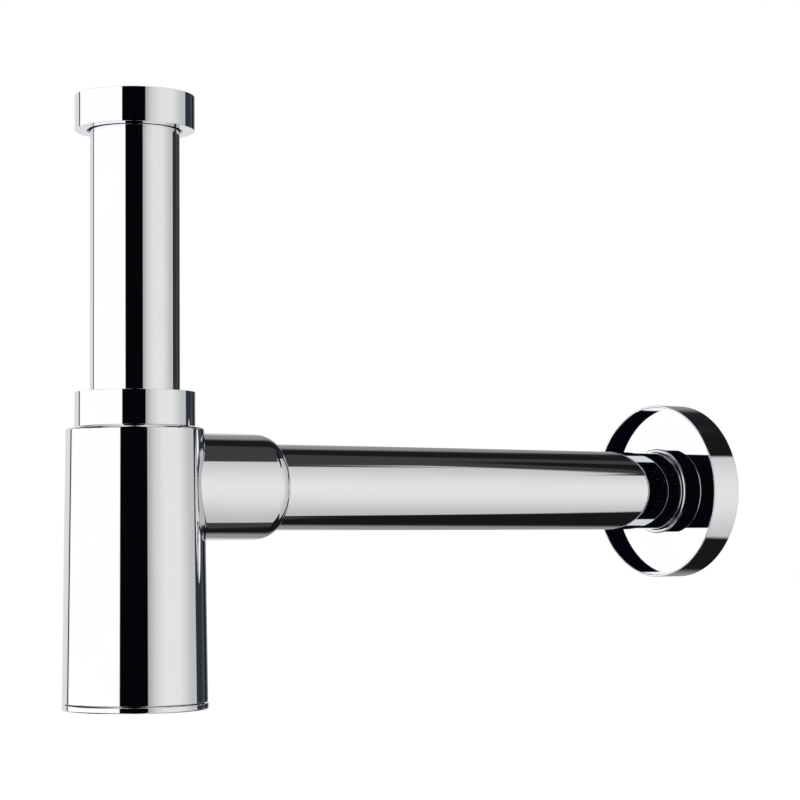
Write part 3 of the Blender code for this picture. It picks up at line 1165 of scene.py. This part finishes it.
@dataclass
class Outlet:
    """The outlet tube and the two rings that grip it."""

    gauge: Gauge
    start: float = 0.0291
    end: float = 0.2791
    ring_names: tuple[str, str] = ("outlet_ring_inner", "outlet_ring_outer")

    def build(self) -> None:
        """Builds and dresses the three pieces."""
        gauge = self.gauge
        tube = [
            Corner(gauge.tube_bore, self.start),
            Corner(gauge.tube_radius, self.start, EDGE),
            Corner(gauge.tube_radius, self.end, EDGE),
            bare(gauge.tube_bore, self.end),
        ]
        axis = gauge.outlet_axis()
        dress_node("outlet_tube", turned(tube, Fineness.TUBE), "outlet", PLATED_BRASS, axis)
        for name, place in zip(self.ring_names, gauge.outlet_ring_places):
            ring = cord_ring(gauge.guide, place, gauge.outlet_ring_cord)
            dress_node(name, ring, "bottle", RUBBER_SEAL, axis)


@dataclass
class WallFlange:
    """The dished flange with its hub, and the ring inside the hub."""

    gauge: Gauge
    front: float = 0.2519
    back: float = 0.2657
    back_round: float = 0.0004
    radius: float = 0.03585
    rim: float = 0.0009
    dish: float = 0.0056
    floor_back: float = 0.2605
    land: float = 0.0022
    hub_radius: float = 0.0176
    hub_setback: float = 0.0008
    hub_round: float = 0.0007
    ring_cord: float = 0.0013
    ring_setback: float = 0.0015

    def build(self) -> None:
        """Builds and dresses the two pieces."""
        axis = self.gauge.outlet_axis()
        guide = self.gauge.guide
        middle = self.floor_back - self.ring_setback
        half = self.ring_cord / 2 + GAP
        groove = guide + self.ring_cord + GAP
        inside = self.radius - self.rim
        land_inside = self.radius - self.land
        hub_front = self.front + self.hub_setback
        floor_front = self.front + self.dish
        flange = [
            Corner(self.radius, self.front, EDGE),
            Corner(self.radius, self.back, self.back_round),
            Corner(land_inside, self.back),
            Corner(land_inside, self.floor_back),
            Corner(guide, self.floor_back),
            Corner(guide, middle + half),
            Corner(groove, middle + half),
            Corner(groove, middle - half),
            Corner(guide, middle - half),
            Corner(guide, hub_front, EDGE),
            Corner(self.hub_radius, hub_front, self.hub_round),
            Corner(self.hub_radius, floor_front),
            Corner(inside, floor_front),
            Corner(inside, self.front, EDGE),
        ]
        dress_node("wall_flange", turned(flange, Fineness.WIDE), "flange", FULL_CHROME, axis)
        ring = cord_ring(guide, middle, self.ring_cord)
        dress_node("flange_grip_ring", ring, "grip_ring", RUBBER_SEAL, axis)


@dataclass(frozen=True)
class Panel:
    """A lit or dark panel of the photographic set, which only the metal sees.

    Azimuths are in degrees from +X towards +Y and elevations in degrees from level. A slant moves
    an upright edge by so many degrees for each degree above level. Softness is the half width of
    the panel's blurred edge.
    """

    name: str
    left: float
    right: float
    low: float
    high: float
    colour: Colour
    softness: float = 0.8
    rise_softness: float = 1.0
    left_slant: float = 0.0
    right_slant: float = 0.0


PANEL_EDGES = (
    "left", "right", "low", "high", "softness", "rise_softness", "left_slant", "right_slant"
)


@cache
def panel_group() -> bpy.types.NodeTree:
    """Tells how far a direction lies inside one panel of the set.

    Returns:
        A group that gives a mask from an azimuth, an elevation and a panel's edges.
    """
    labels = ("azimuth", "elevation", *PANEL_EDGES)
    sheet, entry, leave = new_group("Studio panel", dict.fromkeys(labels, 0.0), ("Mask",))
    given = {label: entry.outputs[label] for label in labels}

    def inside(place: str, low: object, high: object, softness: str) -> bpy.types.NodeSocket:
        """A mask between two blurred edges.

        Args:
            place: The input that runs across them.
            low: The lower edge.
            high: The upper edge.
            softness: The input with their softness.

        Returns:
            The mask's socket.
        """
        steps = []
        for limit in (low, high):
            inputs = {
                "Value": given[place],
                "From Min": sheet.math("SUBTRACT", limit, given[softness]),
                "From Max": sheet.math("ADD", limit, given[softness]),
            }
            step = sheet.add("ShaderNodeMapRange", inputs, interpolation_type="SMOOTHSTEP")
            steps.append(step.outputs["Result"])
        return sheet.math("MULTIPLY", steps[0], sheet.math("SUBTRACT", 1.0, steps[1]))

    upright = []
    for side in ("left", "right"):
        shift = sheet.math("MULTIPLY", given[f"{side}_slant"], given["elevation"])
        upright.append(sheet.math("ADD", given[side], shift))
    across = inside("azimuth", *upright, "softness")
    upward = inside("elevation", given["low"], given["high"], "rise_softness")
    sheet.fill(leave, {"Mask": sheet.math("MULTIPLY", across, upward)})
    return sheet.tree


NAVY = (0.0014, 0.0020, 0.0045)
BLACK = (0.010, 0.010, 0.011)
DARK_GREY = (0.052, 0.052, 0.054)
DOOR = (0.030, 0.034, 0.043)
DOOR_FRAME = (0.016, 0.017, 0.020)
STUDIO_PANELS = (
    Panel("right wall", -102.0, -6.0, -70.0, 46.0, (0.44, 0.44, 0.435)),
    Panel("right wall light", -94.0, 50.0, -90.0, 46.0, (0.58, 0.58, 0.575), 6.0),
    Panel("right wall glow", -86.0, -32.0, -38.0, 30.0, (0.88, 0.88, 0.865), 18.0, 32.0),
    Panel("end door head", 65.7, 48.0, 10.0, 62.0, DOOR_FRAME, 3.0, 2.0, -2.0),
    Panel("end door foot", 34.9, 48.0, -66.0, -11.0, DOOR_FRAME, 3.0, 2.0, 0.743),
    Panel("end door side", 0.0, 14.0, -46.0, 46.0, DOOR, 3.0, 2.0),
    Panel("end door", -7.5, 48.0, -7.0, 14.0, DOOR, 1.2, 1.0),
    Panel("end door pane", 13.0, 23.0, -6.0, 13.0, (0.062, 0.072, 0.088), 3.0, 1.0),
    Panel("end door post", 24.0, 30.5, -6.0, 13.0, (0.010, 0.010, 0.014), 1.5, 1.0),
    Panel("ceiling back", -75.2, 48.0, 41.0, 62.0, (0.011, 0.012, 0.013), 1.5, 2.0, 1.4),
    Panel("ceiling front", -102.0, 9.0, 46.0, 62.0, DARK_GREY, 4.0),
    Panel("ceiling drop", -102.0, -32.0, 42.8, 62.0, DARK_GREY, 4.0),
    Panel("ceiling beam", -55.5, -73.3, 32.5, 50.0, DARK_GREY, 1.2, 1.5, 0.6, 1.3),
    Panel("ceiling beam end", -79.3, -74.6, 31.0, 50.0, BLACK, 0.8, 1.5, 1.3, 1.42),
    Panel("floor back", -69.4, 48.0, -66.0, -41.0, (0.050, 0.050, 0.052), 1.6, 2.0, -1.1),
    Panel("floor black", -69.4, 48.0, -55.0, -41.0, BLACK, 1.6, 1.0, -1.1),
    Panel("floor end", 5.0, 48.0, -55.0, -26.0, BLACK, 3.0, 1.0),
    Panel("end corner", 39.0, 66.0, -66.0, 62.0, (0.30, 0.30, 0.30), 6.0),
    Panel("back wall", 53.0, 111.0, -90.0, 90.0, (0.78, 0.79, 0.80), 3.0),
    Panel("left upper drape", 111.0, 190.0, 20.0, 62.0, NAVY, 1.5, 2.0),
    Panel("left lower drape", 111.0, 190.0, -66.0, -20.0, NAVY, 1.5, 2.0),
    Panel("far upper drape", -190.0, -140.0, 26.0, 62.0, NAVY, 1.5, 2.0),
    Panel("far lower drape", -190.0, -140.0, -66.0, -26.0, NAVY, 1.5, 2.0),
    Panel("thin upright", 104.5, 109.3, -90.0, 62.0, (0.035, 0.036, 0.040), 0.5),
    Panel("camera side", -145.2, -100.7, -90.0, 90.0, (0.0012, 0.0016, 0.0024)),
)


@dataclass
class Studio:
    """The camera, the pale floor, the soft light and the panels that the chrome mirrors.

    The plain level is the world's light on the object, where 1 is the white that the camera sees.
    The mirrored level is the brightness of the set between its panels.
    """

    place: Place = (-0.4379552, -0.7324464, 0.058288)
    right: Place = (0.7965067, -0.60458578, -0.00728702)
    up: Place = (-0.0301595, -0.05176465, 0.9982038)
    forward: Place = (0.60387704, 0.79485625, 0.0594649)
    lens: float = 107.373
    sensor: float = 36.0
    clip: tuple[float, float] = (0.01, 100.0)
    floor_height: float = -0.50
    floor_half: float = 20.0
    floor_tones: tuple[float, float] = (0.90, 0.86)
    floor_cloud: float = 6.0
    floor_roughness: float = 0.9
    floor_glow: float = 0.45
    plain_level: float = 0.7
    mirrored_level: float = 1.15
    lamp_place: Place = (-0.5, -0.7, 1.9)
    lamp_aim: Place = (0.1, 0.0, 0.1)
    lamp_size: float = 1.6
    lamp_power: float = 18.0
    panels: tuple[Panel, ...] = STUDIO_PANELS

    def build(self) -> None:
        """Sets up the whole studio."""
        self._camera()
        self._floor()
        self._world()
        self._lamp()
        bpy.context.scene.view_settings.view_transform = "Standard"
        LOG.info("studio: %d panels", len(self.panels))

    def _camera(self) -> None:
        """The camera, at the photograph's viewing angle."""
        data = bpy.data.cameras.new("camera")
        data.lens = self.lens
        data.sensor_width = self.sensor
        data.clip_start, data.clip_end = self.clip
        camera = bpy.data.objects.new("camera", data)
        columns = (self.right, self.up, tuple(-value for value in self.forward))
        turn = Matrix(columns).transposed().to_4x4()
        camera.matrix_world = Matrix.Translation(self.place) @ turn
        bpy.context.scene.collection.objects.link(camera)
        bpy.context.scene.camera = camera

    def _floor(self) -> None:
        """A white floor well below the hanging trap, which keeps its shadow and is clear from below."""
        mesh = bpy.data.meshes.new("floor")
        half = self.floor_half
        corners = ((-half, -half), (half, -half), (half, half), (-half, half))
        mesh.from_pydata([(x, y, self.floor_height) for x, y in corners], [], [(0, 1, 2, 3)])
        floor = bpy.data.objects.new("floor", mesh)
        floor.visible_glossy = False
        bpy.context.scene.collection.objects.link(floor)
        paint = bpy.data.materials.new("white floor")
        paint.use_nodes = True
        sheet = NodeSheet(paint.node_tree)
        place = sheet.add("ShaderNodeTexCoord").outputs["Object"]
        cloud = sheet.noise(place, self.floor_cloud, detail=3.0)
        first, second = ((tone, tone, tone, 1.0) for tone in self.floor_tones)
        rays = sheet.add("ShaderNodeLightPath").outputs
        below = sheet.add("ShaderNodeNewGeometry").outputs["Backfacing"]
        surface = {
            "Base Color": sheet.blend(cloud, first, second),
            "Roughness": self.floor_roughness,
            "Emission Color": (1.0, 1.0, 1.0, 1.0),
            "Emission Strength": sheet.math("MULTIPLY", rays["Is Camera Ray"], self.floor_glow),
            "Alpha": sheet.math("SUBTRACT", 1.0, below),
        }
        sheet.fill(paint.node_tree.nodes["Principled BSDF"], surface)
        mesh.materials.append(paint)

    def _world(self) -> None:
        """A plain white world, in which the metal sees the set's panels."""
        world = bpy.data.worlds.new("white studio")
        bpy.context.scene.world = world
        world.use_nodes = True
        sheet = NodeSheet(world.node_tree)
        ray = sheet.add("ShaderNodeTexCoord").outputs["Generated"]
        parts = sheet.add("ShaderNodeSeparateXYZ", {"Vector": ray}).outputs
        turn = sheet.math("ARCTAN2", parts["Y"], parts["X"])
        rise = sheet.math("ARCSINE", parts["Z"], 0.0)
        azimuth = sheet.math("MULTIPLY", turn, math.degrees(1.0))
        elevation = sheet.math("MULTIPLY", rise, math.degrees(1.0))
        level = self.mirrored_level
        seen: object = (level, level, level, 1.0)
        for panel in self.panels:
            inputs = {edge: getattr(panel, edge) for edge in PANEL_EDGES}
            inputs |= {"azimuth": azimuth, "elevation": elevation}
            inside = sheet.add(
                "ShaderNodeGroup", inputs, node_tree=panel_group(), label=panel.name
            )
            seen = sheet.blend(inside.outputs["Mask"], seen, (*panel.colour, 1.0))
        rays = sheet.add("ShaderNodeLightPath").outputs
        clear = sheet.math("MAXIMUM", rays["Is Camera Ray"], rays["Is Transmission Ray"])
        lift = sheet.math("MULTIPLY", clear, 1.0 - self.plain_level)
        strength = sheet.math("ADD", lift, self.plain_level)
        plain = world.node_tree.nodes["Background"]
        sheet.fill(plain, {"Color": (1.0, 1.0, 1.0, 1.0), "Strength": strength})
        mirrored = sheet.add("ShaderNodeBackground", {"Color": seen}).outputs["Background"]
        choices = {"Fac": rays["Is Glossy Ray"], 1: plain.outputs["Background"], 2: mirrored}
        choice = sheet.add("ShaderNodeMixShader", choices)
        sheet.fill(world.node_tree.nodes["World Output"], {"Surface": choice.outputs["Shader"]})

    def _lamp(self) -> None:
        """One soft lamp above, which the metal doesn't mirror."""
        data = bpy.data.lights.new("soft lamp", "AREA")
        data.shape = "DISK"
        data.size = self.lamp_size
        data.energy = self.lamp_power
        lamp = bpy.data.objects.new("soft lamp", data)
        lamp.location = self.lamp_place
        aim = Vector(self.lamp_aim) - lamp.location
        lamp.rotation_euler = aim.to_track_quat("-Z", "Y").to_euler()
        lamp.visible_glossy = False
        bpy.context.scene.collection.objects.link(lamp)


def main() -> None:
    """Builds the studio and every sub-assembly."""
    logging.basicConfig(level=logging.INFO, format="%(message)s")
    Studio().build()
    gauge = Gauge()
    for assembly in (Inlet, Gland, Bottle, Base, Outlet, WallFlange):
        LOG.info("building the %s", assembly.__name__)
        assembly(gauge).build()
    bpy.context.view_layer.update()


if __name__ == "__main__":
    main()
